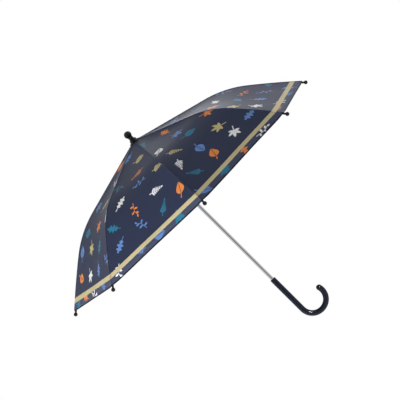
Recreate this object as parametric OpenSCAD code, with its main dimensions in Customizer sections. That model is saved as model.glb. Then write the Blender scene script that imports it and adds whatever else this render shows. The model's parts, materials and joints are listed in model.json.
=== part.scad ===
// Children's stick umbrella, open, with a J handle and ball-ended ribs.
// Z runs up the shaft. The origin is the middle of the straight grip, and the hook opens to +X.

/* [Handle] */
// Length of the straight grip
grip_len = 94; // [70:1:140]
// Outside diameter of the grip and hook
grip_d = 13; // [12:0.5:18]
// Radius of the hook, to the middle of its bar
hook_r = 30; // [22:1:45]
// How far the hook turns
hook_sweep = 196; // [150:1:230]
// Depth of the shaft in the grip
shaft_seat = 66; // [40:1:69]

/* [Shaft] */
// Outside diameter of the shaft tube
shaft_d = 8; // [7:0.5:9]
// Wall of the shaft tube
shaft_wall = 0.7; // [0.5:0.1:1.2]
// Bare shaft, from the top of the grip up to the rib pivots
shaft_span = 420; // [400:1:520]

/* [Ferrule] */
// Diameter of the ball on top
ball_d = 16.7; // [14:0.1:22]
// Diameter of the neck under the ball
neck_d = 11; // [10:0.5:13]
// Diameter of the collar that presses on the cap
collar_d = 17; // [14:0.5:20]
// Height of the ball's centre over the rib pivots
ball_rise = 24.2; // [22:0.1:40]
// Diameter of the cap that clamps the canopy
cap_d = 27; // [22:0.5:32]
// Thickness of the cap
cap_t = 2.4; // [1:0.1:3]

/* [Ribs] */
// Number of ribs
rib_count = 8; // [6:1:8]
// Turn of the first rib from the hook
rib_turn = 2.5; // [0:0.5:22.5]
// Diameter of a rib
rib_d = 2.8; // [2.2:0.1:3]
// Slope of the straight inner stretch below level
rib_slope = 15; // [10:0.5:20]
// Length of the straight inner stretch
inner_len = 168; // [150:1:210]
// Length of the tighter bend
bend_len = 97; // [70:1:120]
// How far the tighter bend turns down
bend_turn = 23.5; // [15:0.5:30]
// Length of the outer stretch
outer_len = 120; // [90:1:150]
// How far the outer stretch turns down
outer_turn = 3.5; // [1:0.5:10]
// Diameter of the ball on a rib's end
tip_d = 8.7; // [7:0.1:12]
// Distance from the canopy's corner to the middle of that ball
tip_reach = 7.5; // [7.5:0.1:14]

/* [Stretchers] */
// Distance along the rib from its pivot to the stretcher joint
joint_at = 160; // [120:1:162]
// Distance from the rib's axis down to the joint's rivet
joint_drop = 5; // [4.9:0.1:7]
// Diameter of a stretcher
stretcher_d = 2.6; // [2.2:0.1:2.8]
// Angle that a rib turns from open to closed
fold_turn = 63; // [55:0.5:64]

/* [Runner] */
// Radius of the ring of pivots on the notch and the runner
pivot_r = 9; // [8.5:0.1:10]
// Outside diameter of the notch and of the runner's head
notch_d = 23; // [22:0.5:24]
// Length of the runner below its pivots
runner_len = 42; // [36:1:60]
// Outside diameter of the runner's sleeve
sleeve_d = 12.2; // [11.6:0.1:13]
// Outside diameter of the thumb rim under the sleeve
thumb_d = 18; // [15:0.5:22]
// Diameter of the wires that hold the eyes
wire_d = 1.2; // [0.8:0.1:1.4]
// Radius of the eyes on ribs and stretchers
eye_r = 2.1; // [1.8:0.1:2.2]
// Thickness of the eyes
eye_t = 1.6; // [1.2:0.1:2]

/* [Canopy] */
// Thickness of the cloth
cloth_t = 0.6; // [0.4:0.1:1]
// How far the hem dips in between two ribs
hem_dip = 0.5; // [0:0.5:15]

/* [Catches] */
// Width of a catch, across the shaft
catch_w = 1.8; // [1.4:0.1:2.4]
// Distance from a catch's pin to its shoulder
catch_len = 22; // [16:1:30]
// How far a catch's nose stands out of the shaft
nose_out = 1.5; // [1:0.1:1.6]

/* [Fits] */
// Gap between two glued or pressed pieces
glue_gap = 0.1; // [0.05:0.01:0.15]
// Gap between pieces that move past each other
run_gap = 0.3; // [0.2:0.05:0.4]

/* [Hidden] */
$fn = 48;
pitch = 360 / rib_count;
half_pitch = pitch / 2;
shaft_r = shaft_d / 2;
bore_r = shaft_r - shaft_wall;
grip_r = grip_d / 2;
rib_r = rib_d / 2;
// Each bent length of a rib starts inside the one before it and is a little thinner.
rib_step = 0.05;
rib_lap = 1;
rib_bend_r = rib_r - rib_step;
rib_end_r = rib_bend_r - rib_step;
rib_in_tip = tip_reach / 2;
wire_r = wire_d / 2;
grip_top = grip_len / 2;
pivot_z = grip_top + shaft_span;
shaft_bottom = grip_top - shaft_seat;
ball_z = pivot_z + ball_rise;
shaft_top = ball_z - ball_d / 4;
// The clip on a rib is a tube with two ears, and the cloth lies on it.
clip_wall = 0.8;
clip_r = rib_r + glue_gap + clip_wall;
clip_len = 9;
ear_in = eye_t / 2 + run_gap;
ear_t = 0.8;
rivet_r = 0.75;
rivet_head_r = 1.5;
rivet_head_t = 0.6;
cloth_in = clip_r + run_gap;
cloth_out = cloth_in + cloth_t;
seam_gap = 0.2;
cloth_start = shaft_r + 2.5;
// The rib's pivot, the rivet and the runner's pivot make a triangle with two equal sides.
link_len = sqrt(joint_at * joint_at + joint_drop * joint_drop);
link_slope = rib_slope + atan(joint_drop / joint_at);
runner_z = pivot_z - 2 * link_len * sin(link_slope);
runner_shut_z = pivot_z - 2 * link_len * sin(link_slope + fold_turn);
slot_w = eye_t + 2 * run_gap;
hub_r = pivot_r - eye_r - run_gap;
notch_top = 1.5;
notch_drop = 8;
rim_t = 4;
// The bars are flat from their eyes out past the slots of the notch and the runner.
eye_neck = eye_r * 0.6;
flat_len = notch_drop + 2;
// The flat behind an eye is narrower than its bar by this share.
flat_share = 0.9;
wire_hole_r = wire_r + run_gap / 2;
sleeve_bore_r = shaft_r + run_gap;
catch_pin_r = 0.6;
catch_slot_w = catch_w + 2 * run_gap;
top_pin_z = runner_z - runner_len - run_gap - catch_len;
window_drop = 28;
window_h = 9;
low_pin_z = runner_shut_z - window_drop - run_gap - catch_len;
socket_wall = 0.9;
socket_len = 7;

function tangent(a) = [cos(a), -sin(a)];
function outward(a) = [sin(a), cos(a)];
function bend_radius(len, turn) = len * 180 / (PI * turn);
// End of an arc that starts at p, heading a below level, with the given radius and turn.
function arc_end(p, a, radius, turn) = p + radius * (outward(a + turn) - outward(a));

bend_r = bend_radius(bend_len, bend_turn);
outer_r = bend_radius(outer_len, outer_turn);
outer_slope = rib_slope + bend_turn;
end_slope = outer_slope + outer_turn;
rib_0 = [pivot_r, pivot_z];
rib_1 = rib_0 + inner_len * tangent(rib_slope);
rib_2 = arc_end(rib_1, rib_slope, bend_r, bend_turn);
rib_3 = arc_end(rib_2, outer_slope, outer_r, outer_turn);
rivet_at = rib_0 + joint_at * tangent(rib_slope) - joint_drop * outward(rib_slope);
// Points of a line that runs beside the rib, off away from its axis, at a share t of each stretch.
function inner_point(t, off) = rib_0 + t * inner_len * tangent(rib_slope) + off * outward(rib_slope);
function bend_point(t, off) =
    arc_end(rib_1, rib_slope, bend_r, t * bend_turn) + off * outward(rib_slope + t * bend_turn);
function outer_point(t, off) =
    arc_end(rib_2, outer_slope, outer_r, t * outer_turn) + off * outward(outer_slope + t * outer_turn);
cloth_start_t = (cloth_start - pivot_r) / (inner_len * cos(rib_slope));
inner_steps = 3;
bend_steps = 4;
outer_steps = 3;
cross_steps = 3;
// The cloth's line at station i, with the hem drawn in by dip.
stations = inner_steps + bend_steps + outer_steps;
function cloth_line(i, off, dip) =
    i <= inner_steps
        ? inner_point(cloth_start_t + (1 - cloth_start_t) * i / inner_steps, off)
        : i <= inner_steps + bend_steps
            ? bend_point((i - inner_steps) / bend_steps, off)
            : outer_point((i - inner_steps - bend_steps) / outer_steps * (1 - dip / outer_len), off);
// A point of the half gore: station i, step j from the rib to the middle of the gore.
function cloth_point(i, j, off) =
    let (
        v = j / cross_steps,
        dip = hem_dip * (1 - (1 - v) * (1 - v)),
        p = cloth_line(i, off, dip),
        across = seam_gap + v * (p[0] * sin(half_pitch) * cos(half_pitch) - 2 * seam_gap)
    ) [p[0] - across * tan(half_pitch), across, p[1]];

sides = [-1, 1];
side_names = ["left", "right"];
rib_list = [1:rib_count];

// Places a piece that was drawn in the XZ plane at rib k.
module at_rib(k) {
    rotate([0, 0, rib_turn + (k - 1) * pitch]) children();
}

// Places children at a point of the XZ plane, with their Z axis heading a below level.
module heading(p, a) {
    translate([p[0], 0, p[1]]) rotate([0, 90 + a, 0]) children();
}

// A round bar that bends down in the XZ plane, with a short lead before p.
module bent_bar(p, a, radius, turn, r) {
    c = p - radius * outward(a);
    lead = rib_lap / radius * 180 / PI;
    translate([c[0], 0, c[1]])
        rotate([90, 0, 0])
            rotate([0, 0, 90 - a - turn])
                rotate_extrude(angle = turn + lead, $fn = 180) translate([radius, 0]) circle(r);
}

// A flat eye round the Y axis, with its hole.
module eye(p, hole_r) {
    translate([p[0], 0, p[1]])
        rotate([90, 0, 0])
            difference() {
                cylinder(r = eye_r, h = eye_t, center = true);
                cylinder(r = hole_r, h = 2 * eye_t, center = true);
            }
}

// A hole along Y through a piece of the XZ plane.
module cross_hole(p, hole_r) {
    translate([p[0], 0, p[1]]) rotate([90, 0, 0]) cylinder(r = hole_r, h = 4 * eye_t, center = true);
}

// The slots of the notch or the runner's head, one for each rib.
module eye_slots(z, h) {
    for (k = rib_list)
        at_rib(k) translate([hub_r, -slot_w / 2, z]) cube([notch_d, slot_w, h]);
}

// The groove that a wire lies in.
module wire_groove(z) {
    translate([0, 0, z])
        rotate_extrude()
            translate([pivot_r - wire_r - glue_gap, -wire_r - glue_gap])
                square([notch_d, wire_d + 2 * glue_gap]);
}

module eye_wire(z) {
    translate([0, 0, z]) rotate_extrude() translate([pivot_r, 0]) circle(wire_r, $fn = 24);
}

module shaft() {
    color("silver")
        difference() {
            translate([0, 0, shaft_bottom]) cylinder(r = shaft_r, h = shaft_top - shaft_bottom);
            translate([0, 0, shaft_bottom - 1]) cylinder(r = bore_r, h = shaft_top - shaft_bottom + 2);
            catch_slot(top_pin_z);
            catch_slot(low_pin_z);
            catch_pin(top_pin_z, catch_pin_r + glue_gap);
            catch_pin(low_pin_z, catch_pin_r + glue_gap);
        }
}

// The window in the shaft that a catch swings through, over its pin.
module catch_slot(pin_z) {
    slot_start = 4;
    translate([-catch_slot_w / 2, 0, pin_z + slot_start])
        cube([catch_slot_w, shaft_d, catch_len - slot_start + 1]);
}

module catch_pin(pin_z, r) {
    pin_inset = 0.2;
    translate([0, 0, pin_z])
        rotate([0, 90, 0]) cylinder(r = r, h = shaft_d - 2 * pin_inset, center = true);
}

module catch_pins() {
    color("dimgray") {
        catch_pin(top_pin_z, catch_pin_r);
        catch_pin(low_pin_z, catch_pin_r);
    }
}

// A sprung leaf on a pin. Its outline lies in the YZ plane. The nose has its square shoulder on top
// where ramp_up is true, and under it where it's false.
module catch_leaf(pin_z, ramp_h, ramp_up) {
    back = 0.9;
    front = bore_r - run_gap;
    nose = shaft_r + nose_out;
    foot = 1.6;
    low = catch_len - ramp_h;
    stem = [[-foot, -foot], [foot, -foot]];
    top = [[back, catch_len]];
    ramp = ramp_up
        ? [[front, low], [nose, catch_len]]
        : [[foot, low], [nose, low], [front, catch_len]];
    outline = concat(stem, ramp, top);
    color("lightsteelblue")
        translate([0, 0, pin_z])
            difference() {
                translate([-catch_w / 2, 0, 0])
                    rotate([90, 0, 90])
                        linear_extrude(catch_w) polygon(outline);
                rotate([0, 90, 0]) cylinder(r = catch_pin_r + glue_gap, h = 2 * catch_w, center = true);
            }
}

module top_catch() {
    catch_leaf(top_pin_z, 8, true);
}

module bottom_catch() {
    catch_leaf(low_pin_z, 7, false);
}

module handle() {
    edge = 1;
    // The hook's rounded end stands a hair proud of its bar.
    end_r = grip_r * 1.01;
    color([0.1, 0.12, 0.18]) {
        difference() {
            union() {
                translate([0, 0, -grip_top]) cylinder(r = grip_r, h = grip_len - edge);
                translate([0, 0, grip_top - edge]) cylinder(r1 = grip_r, r2 = grip_r - edge, h = edge);
                translate([hook_r, 0, -grip_top])
                    rotate([90, 0, 0])
                        rotate([0, 0, 180])
                            rotate_extrude(angle = hook_sweep, $fn = 128)
                                translate([hook_r, 0]) circle(grip_r);
                translate([hook_r - hook_r * cos(hook_sweep), 0, -grip_top - hook_r * sin(hook_sweep)])
                    sphere(end_r);
            }
            translate([0, 0, shaft_bottom - glue_gap])
                cylinder(r = shaft_r + glue_gap, h = grip_len);
        }
    }
}

// Height of the cloth's outside at radius r, close to the shaft.
function cloth_top(r) =
    pivot_z + cloth_out / cos(rib_slope) - (r - pivot_r) * tan(rib_slope);

// Height of the cap's flat top, which the collar presses on.
function cap_top() = cloth_top(shaft_r) + glue_gap + cap_t;

module canopy_cap() {
    inner = shaft_r + glue_gap;
    outer = cap_d / 2;
    rim = cap_t * 0.8;
    color([0.08, 0.09, 0.11])
        rotate_extrude($fn = 96)
            polygon([
                [inner, cloth_top(inner) + glue_gap],
                [outer, cloth_top(outer) + glue_gap],
                [outer, cloth_top(outer) + rim],
                [collar_d / 2, cap_top()],
                [inner, cap_top()]
            ]);
}

module ferrule() {
    seat = cap_top() + glue_gap;
    collar_r = collar_d / 2;
    neck_r = neck_d / 2;
    collar_h = 5;
    color([0.06, 0.06, 0.08])
        difference() {
            union() {
                translate([0, 0, seat]) cylinder(r = collar_r, h = collar_h / 2);
                translate([0, 0, seat + collar_h / 2])
                    cylinder(r1 = collar_r, r2 = neck_r, h = collar_h / 2);
                translate([0, 0, seat]) cylinder(r = neck_r, h = ball_z - seat);
                translate([0, 0, ball_z]) sphere(d = ball_d);
            }
            translate([0, 0, seat - 1])
                cylinder(r = shaft_r + glue_gap, h = shaft_top - seat + 1 + glue_gap);
        }
}

module top_notch() {
    color([0.1, 0.1, 0.12])
        difference() {
            translate([0, 0, pivot_z - notch_drop]) cylinder(d = notch_d, h = notch_drop + notch_top);
            cylinder(r = shaft_r + glue_gap, h = 2 * pivot_z);
            eye_slots(pivot_z - notch_drop - 1, notch_drop + notch_top + 2);
            wire_groove(pivot_z);
        }
}

module notch_wire() {
    color("gray") eye_wire(pivot_z);
}

module runner() {
    color([0.1, 0.1, 0.12])
        translate([0, 0, runner_z])
            difference() {
                union() {
                    translate([0, 0, -notch_drop]) cylinder(d = notch_d, h = notch_drop + notch_top);
                    translate([0, 0, -runner_len]) cylinder(d = sleeve_d, h = runner_len);
                    translate([0, 0, -runner_len]) cylinder(d = thumb_d, h = rim_t);
                }
                translate([0, 0, -runner_len - 1]) cylinder(r = sleeve_bore_r, h = 2 * runner_len);
                eye_slots(-notch_drop + rim_t / 2, notch_drop + notch_top);
                wire_groove(0);
                translate([-catch_slot_w / 2, 0, -window_drop - window_h])
                    cube([catch_slot_w, sleeve_d, window_h]);
            }
}

module runner_wire() {
    color("gray") eye_wire(runner_z);
}

module rib(k) {
    flat_w = rib_d * flat_share;
    end_turn = outer_turn * (1 + rib_in_tip / outer_len);
    color("gray")
        at_rib(k)
            difference() {
                union() {
                    eye(rib_0, wire_hole_r);
                    heading(rib_0, rib_slope)
                        translate([-flat_w / 2, -eye_t / 2, eye_neck]) cube([flat_w, eye_t, flat_len]);
                    heading(rib_0, rib_slope)
                        translate([0, 0, flat_len]) cylinder(r = rib_r, h = inner_len - flat_len);
                    bent_bar(rib_1, rib_slope, bend_r, bend_turn, rib_bend_r);
                    bent_bar(rib_2, outer_slope, outer_r, end_turn, rib_end_r);
                }
                cross_hole(rib_0, wire_hole_r);
            }
}

// The ball, its neck and the socket that takes the rib's end.
module rib_tip(k) {
    socket_r = rib_r + socket_wall;
    color([0.06, 0.06, 0.08])
        at_rib(k)
            heading(rib_3, end_slope)
                difference() {
                    union() {
                        translate([0, 0, -socket_len / 2])
                            cylinder(r = socket_r, h = socket_len / 2 + tip_reach);
                        translate([0, 0, tip_reach]) sphere(d = tip_d);
                    }
                    translate([0, 0, -socket_len])
                        cylinder(r = rib_end_r + glue_gap, h = socket_len + rib_in_tip + glue_gap);
                }
}

// The clip round a rib, its two ears and the rivet through them.
module rib_joint(k) {
    ear_w = 2 * eye_r;
    ear_out = ear_in + ear_t;
    clip_at = rib_0 + joint_at * tangent(rib_slope);
    color("darkgray")
        at_rib(k) {
            difference() {
                heading(clip_at, rib_slope) {
                    translate([0, 0, -clip_len / 2]) cylinder(r = clip_r, h = clip_len);
                    for (side = sides)
                        translate([0, side * (ear_in + ear_t / 2) - ear_t / 2, -ear_w / 2])
                            cube([joint_drop + eye_r, ear_t, ear_w]);
                }
                heading(clip_at, rib_slope)
                    translate([0, 0, -clip_len]) cylinder(r = rib_r + glue_gap, h = 2 * clip_len);
                cross_hole(rivet_at, rivet_r + glue_gap / 2);
            }
            translate([rivet_at[0], 0, rivet_at[1]])
                rotate([90, 0, 0]) {
                    cylinder(r = rivet_r, h = 2 * (ear_out + rivet_head_t), center = true);
                    for (side = sides)
                        translate([0, 0, side * (ear_out + rivet_head_t / 2 + glue_gap / 2)])
                            cylinder(r = rivet_head_r, h = rivet_head_t, center = true);
                }
        }
}

module stretcher(k) {
    start = [pivot_r, runner_z];
    bar_r = stretcher_d / 2;
    flat_w = stretcher_d * flat_share;
    rivet_hole_r = rivet_r + run_gap / 2;
    color("gray")
        at_rib(k)
            difference() {
                union() {
                    eye(start, wire_hole_r);
                    eye(rivet_at, rivet_hole_r);
                    for (from = [eye_neck, link_len - eye_neck - flat_len])
                        heading(start, -link_slope)
                            translate([-flat_w / 2, -eye_t / 2, from]) cube([flat_w, eye_t, flat_len]);
                    heading(start, -link_slope)
                        translate([0, 0, flat_len]) cylinder(r = bar_r, h = link_len - 2 * flat_len);
                }
                cross_hole(start, wire_hole_r);
                cross_hole(rivet_at, rivet_hole_r);
            }
}

// Half a gore of cloth, from the seam over rib k to the middle of the gore.
module half_gore(k, side) {
    row = cross_steps + 1;
    layer = (stations + 1) * row;
    points = [
        for (off = [cloth_in, cloth_out])
            for (i = [0:stations])
                for (j = [0:cross_steps]) cloth_point(i, j, off)
    ];
    inside = [
        for (i = [0:stations - 1])
            for (j = [0:cross_steps - 1])
                let (a = i * row + j)
                    each [[a, a + row, a + 1], [a + 1, a + row, a + row + 1]]
    ];
    outside = [for (f = inside) [f[0] + layer, f[2] + layer, f[1] + layer]];
    rim = concat(
        [for (j = [0:cross_steps]) j],
        [for (i = [1:stations]) i * row + cross_steps],
        [for (j = [cross_steps - 1:-1:0]) stations * row + j],
        [for (i = [stations - 1:-1:1]) i * row]
    );
    rim_count = len(rim);
    edge = [
        for (i = [0:rim_count - 1])
            let (a = rim[i], b = rim[(i + 1) % rim_count])
                each [[a, b, a + layer], [b, b + layer, a + layer]]
    ];
    color([0.15, 0.18, 0.27])
        at_rib(k)
            mirror([0, side < 0 ? 1 : 0, 0])
                polyhedron(points, concat(inside, outside, edge), convexity = 6);
}

shaft();
handle();
ferrule();
canopy_cap();
top_notch();
notch_wire();
runner();
runner_wire();
top_catch();
bottom_catch();
catch_pins();
for (k = rib_list) {
    rib(k);
    rib_tip(k);
    rib_joint(k);
    stretcher(k);
    for (s = [0, 1])
        half_gore(k, sides[s]);
}
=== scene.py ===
"""Looks of a children's stick umbrella, built around its packed construction."""

import json
import logging
import math
import random
from collections.abc import Callable
from dataclasses import dataclass, field
from enum import Enum
from functools import partial

import bpy
import numpy as np
from mathutils import Matrix, Vector, noise
from mathutils.geometry import delaunay_2d_cdt

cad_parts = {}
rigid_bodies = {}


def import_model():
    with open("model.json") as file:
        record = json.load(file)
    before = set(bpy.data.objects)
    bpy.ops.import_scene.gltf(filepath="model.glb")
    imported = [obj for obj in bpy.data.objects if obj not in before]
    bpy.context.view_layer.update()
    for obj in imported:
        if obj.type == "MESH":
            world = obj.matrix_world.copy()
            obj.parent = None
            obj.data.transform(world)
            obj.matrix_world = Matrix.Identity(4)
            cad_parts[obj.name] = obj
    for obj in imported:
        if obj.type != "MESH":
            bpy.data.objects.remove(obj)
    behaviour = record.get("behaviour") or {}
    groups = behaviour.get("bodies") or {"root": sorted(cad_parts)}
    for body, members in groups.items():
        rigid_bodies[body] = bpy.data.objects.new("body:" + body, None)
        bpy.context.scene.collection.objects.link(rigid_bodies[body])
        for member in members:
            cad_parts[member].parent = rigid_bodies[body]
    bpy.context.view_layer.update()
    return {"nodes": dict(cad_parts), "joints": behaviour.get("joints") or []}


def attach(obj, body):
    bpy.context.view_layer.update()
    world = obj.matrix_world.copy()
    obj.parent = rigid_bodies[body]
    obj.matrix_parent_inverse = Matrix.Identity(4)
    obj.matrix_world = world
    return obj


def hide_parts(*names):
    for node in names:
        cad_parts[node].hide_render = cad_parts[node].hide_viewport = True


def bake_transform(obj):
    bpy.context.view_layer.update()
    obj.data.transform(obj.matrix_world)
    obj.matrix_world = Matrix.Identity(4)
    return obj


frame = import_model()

LOG = logging.getLogger("umbrella")
MM = 0.001
PHOTO_SIDE = 400
INK_LAYER = "ink"
FLAT_MAP = "flat"
# A wave texture at a scale of 1 turns 20 radians in each metre.
WAVE_TURN = math.tau / 20

AddNode = Callable[..., bpy.types.Node]
Triple = tuple[float, float, float]
Span = tuple[float, float]
Outline = list[Vector]


def linear(hex_colour: str) -> tuple[float, float, float, float]:
    """Turns an sRGB hex colour into linear RGBA.

    Args:
        hex_colour: A colour such as "#2b3149".

    Returns:
        Linear red, green, blue and an alpha of 1.
    """
    digits = hex_colour.lstrip("#")
    parts = [int(digits[i:i + 2], 16) / 255 for i in (0, 2, 4)]
    toe, slope, offset, power = 0.04045, 12.92, 0.055, 2.4
    rgb = [c / slope if c <= toe else ((c + offset) / (1 + offset)) ** power for c in parts]
    return (*rgb, 1.0)


def per_metre(pitch_mm: float) -> float:
    """Scale of a pattern whose features lie this far apart."""
    return 1 / (pitch_mm * MM)


def add_node(
    tree: bpy.types.NodeTree, kind: str, settings: dict | None = None, links: dict | None = None
) -> bpy.types.Node:
    """Adds one node with its settings and links.

    Args:
        tree: The node tree.
        kind: The node's type name.
        settings: Values by input name or place, or by property name.
        links: Sources by input name or place: sockets, or nodes for their first output.

    Returns:
        The new node.
    """
    node = tree.nodes.new(kind)
    for key, value in (settings or {}).items():
        if isinstance(key, int) or key in node.inputs:
            node.inputs[key].default_value = value
        else:
            setattr(node, key, value)
    for key, source in (links or {}).items():
        socket = source.outputs[0] if isinstance(source, bpy.types.Node) else source
        tree.links.new(socket, node.inputs[key])
    return node


class Ink(Enum):
    """Ground and inks of the printed cloth, with a hem band whose lighter colour is painted light
    and a dark edge band that is painted shade.
    """

    GROUND = "#2c334a"
    # The hem band, lighter than the ground: painted light, for the curled hem that turns more to
    # the lamps.
    HEM = "#434960"
    # A dark band along the hem's edge: painted shade, for the shadow and underside of the curled
    # edge.
    EDGE = "#12151f"
    STRIPE = "#cabd92"
    OLIVE = "#c2b682"
    ORANGE = "#e58a45"
    BLUE = "#6488c4"
    TEAL = "#2f7896"
    WHITE = "#efeff0"
    REVERSE = "#1d2236"


class Finish:
    """A surface that is built as a node material of its name."""

    name: str

    def shader(self, add: AddNode) -> bpy.types.Node:
        """Adds the nodes of the surface with add_node, and returns the shader."""
        raise NotImplementedError

    def material(self) -> bpy.types.Material:
        """Builds the node material.

        Returns:
            The material.
        """
        made = bpy.data.materials.new(self.name)
        made.use_nodes = True
        made.node_tree.nodes.clear()
        add = partial(add_node, made.node_tree)
        add("ShaderNodeOutputMaterial", links={"Surface": self.shader(add)})
        return made


@dataclass(frozen=True)
class PrintedPolyester(Finish):
    """Plain-woven polyester with a satin finish, printed on the outside.

    The eye sees a dark matt cloth that turns grey and satiny at a glancing angle.
    """

    name: str = "printed_polyester"
    roughness: float = 0.5
    specular: float = 0.155
    sheen: float = 0.05
    sheen_roughness: float = 0.35
    gloss_tint: str = "#d2dcff"
    # Real threads lie 0.15 mm apart. They are drawn this coarse to show at all.
    thread_mm: float = 0.9
    weave_depth_mm: float = 0.02
    weave_strength: float = 0.1
    tone_mm: float = 60.0
    tones: Span = (0.92, 1.08)

    def shader(self, add: AddNode) -> bpy.types.Node:
        """Takes the cloth's colour from the print and its weave from two waves.

        Args:
            add: add_node for the material's tree.

        Returns:
            The shader.
        """
        place = {"Vector": add("ShaderNodeUVMap", {"uv_map": FLAT_MAP}).outputs["UV"]}
        scale = per_metre(self.thread_mm) * WAVE_TURN
        threads = {}
        for i, way in enumerate(("X", "Y")):
            wave = add("ShaderNodeTexWave", {"bands_direction": way, "Scale": scale}, place)
            threads[i] = wave.outputs["Fac"]
        weave = add("ShaderNodeMath", {"operation": "MAXIMUM"}, threads)
        bump = add(
            "ShaderNodeBump",
            {"Strength": self.weave_strength, "Distance": self.weave_depth_mm * MM},
            {"Height": weave},
        )
        tone = add("ShaderNodeTexNoise", {"Scale": per_metre(self.tone_mm), "Detail": 3.0}, place)
        least, most = self.tones
        level = add("ShaderNodeMapRange", {"To Min": least, "To Max": most}, {"Value": tone})
        ink = add("ShaderNodeAttribute", {"attribute_name": INK_LAYER})
        colour = add(
            "ShaderNodeVectorMath", {"operation": "SCALE"}, {"Vector": ink, "Scale": level}
        )
        return add(
            "ShaderNodeBsdfPrincipled",
            {
                "Roughness": self.roughness,
                "Specular IOR Level": self.specular,
                "Specular Tint": linear(self.gloss_tint),
                "Sheen Weight": self.sheen,
                "Sheen Roughness": self.sheen_roughness,
            },
            {"Base Color": colour, "Normal": bump},
        )


@dataclass(frozen=True)
class Plastic(Finish):
    """Moulded plastic with faint mould texture and a few finer scuffs.

    The eye sees an even dark colour, with highlights as sharp as the roughness lets them be.
    """

    name: str
    colour: str
    roughness: float
    specular: float = 0.3
    grain_mm: float = 1.2
    grain_depth_mm: float = 0.01
    grain_strength: float = 0.3
    scuff_mm: float = 18.0
    # Least and most roughness, as shares of the finish's own.
    scuff_spread: Span = (0.8, 1.3)

    def shader(self, add: AddNode) -> bpy.types.Node:
        """Gives the plastic its grain and its scuffs.

        Args:
            add: add_node for the material's tree.

        Returns:
            The shader.
        """
        place = {"Vector": add("ShaderNodeTexCoord").outputs["Object"]}
        grains = {"Scale": per_metre(self.grain_mm), "Detail": 4.0}
        grain = add("ShaderNodeTexNoise", grains, place)
        scuffs = add(
            "ShaderNodeTexNoise",
            {"Scale": per_metre(self.scuff_mm), "Detail": 6.0, "Roughness": 0.65},
            place,
        )
        least, most = (share * self.roughness for share in self.scuff_spread)
        rough = add("ShaderNodeMapRange", {"To Min": least, "To Max": most}, {"Value": scuffs})
        bump = add(
            "ShaderNodeBump",
            {"Strength": self.grain_strength, "Distance": self.grain_depth_mm * MM},
            {"Height": grain},
        )
        return add(
            "ShaderNodeBsdfPrincipled",
            {"Base Color": linear(self.colour), "Specular IOR Level": self.specular},
            {"Roughness": rough, "Normal": bump},
        )


@dataclass(frozen=True)
class Steel(Finish):
    """Drawn steel, polished or zinc plated, with fine lines along its length.

    The eye sees a bright metal whose highlight is drawn out along the bar.
    """

    name: str
    colour: str
    roughness: float
    line_mm: float = 0.25
    line_stretch: float = 60.0
    line_depth_mm: float = 0.004
    line_strength: float = 0.12
    # Least and most roughness, as shares of the finish's own.
    line_spread: Span = (0.7, 1.4)

    def shader(self, add: AddNode) -> bpy.types.Node:
        """Gives the steel its drawing lines, up the shaft.

        Args:
            add: add_node for the material's tree.

        Returns:
            The shader.
        """
        place = {"Vector": add("ShaderNodeTexCoord").outputs["Object"]}
        pull = add("ShaderNodeMapping", {"Scale": (1.0, 1.0, 1.0 / self.line_stretch)}, place)
        lines = add(
            "ShaderNodeTexNoise",
            {"Scale": per_metre(self.line_mm), "Detail": 3.0},
            {"Vector": pull},
        )
        least, most = (share * self.roughness for share in self.line_spread)
        rough = add("ShaderNodeMapRange", {"To Min": least, "To Max": most}, {"Value": lines})
        bump = add(
            "ShaderNodeBump",
            {"Strength": self.line_strength, "Distance": self.line_depth_mm * MM},
            {"Height": lines},
        )
        return add(
            "ShaderNodeBsdfPrincipled",
            {"Base Color": linear(self.colour), "Metallic": 1.0},
            {"Roughness": rough, "Normal": bump},
        )


@dataclass(frozen=True)
class Thread(Finish):
    """Spun polyester sewing thread.

    The eye sees a matt thread with a soft fuzz and a visible twist.
    """

    name: str
    colour: str
    roughness: float = 0.7
    specular: float = 0.25
    sheen: float = 0.3
    twist_mm: float = 0.8
    twist_depth_mm: float = 0.05
    twist_strength: float = 0.4

    def shader(self, add: AddNode) -> bpy.types.Node:
        """Gives the thread its twist.

        Args:
            add: add_node for the material's tree.

        Returns:
            The shader.
        """
        twist = add(
            "ShaderNodeTexWave",
            {"bands_direction": "DIAGONAL", "Scale": per_metre(self.twist_mm) * WAVE_TURN},
            {"Vector": add("ShaderNodeTexCoord").outputs["Object"]},
        )
        bump = add(
            "ShaderNodeBump",
            {"Strength": self.twist_strength, "Distance": self.twist_depth_mm * MM},
            {"Height": twist.outputs["Fac"]},
        )
        return add(
            "ShaderNodeBsdfPrincipled",
            {
                "Base Color": linear(self.colour),
                "Roughness": self.roughness,
                "Specular IOR Level": self.specular,
                "Sheen Weight": self.sheen,
            },
            {"Normal": bump},
        )


class Finishes:
    """The object's materials, each made once."""

    def __init__(self) -> None:
        """Makes every material."""
        self.cloth = PrintedPolyester().material()
        self.thread = Thread("navy_sewing_thread", "#3a4160").material()
        self.shaft = Steel("polished_steel_tube", "#d2d3d6", 0.09).material()
        self.bars = Steel("zinc_plated_steel", "#a9abb0", 0.3, line_mm=0.5).material()
        self.handle = Plastic(
            "gloss_navy_abs", "#0d1323", 0.14, specular=0.25, grain_mm=3.0
        ).material()
        self.black = Plastic("gloss_black_abs", "#0a0b10", 0.16, grain_mm=2.0).material()
        self.nylon = Plastic(
            "moulded_black_nylon", "#131418", 0.38, grain_mm=0.6, grain_depth_mm=0.02
        ).material()


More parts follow.
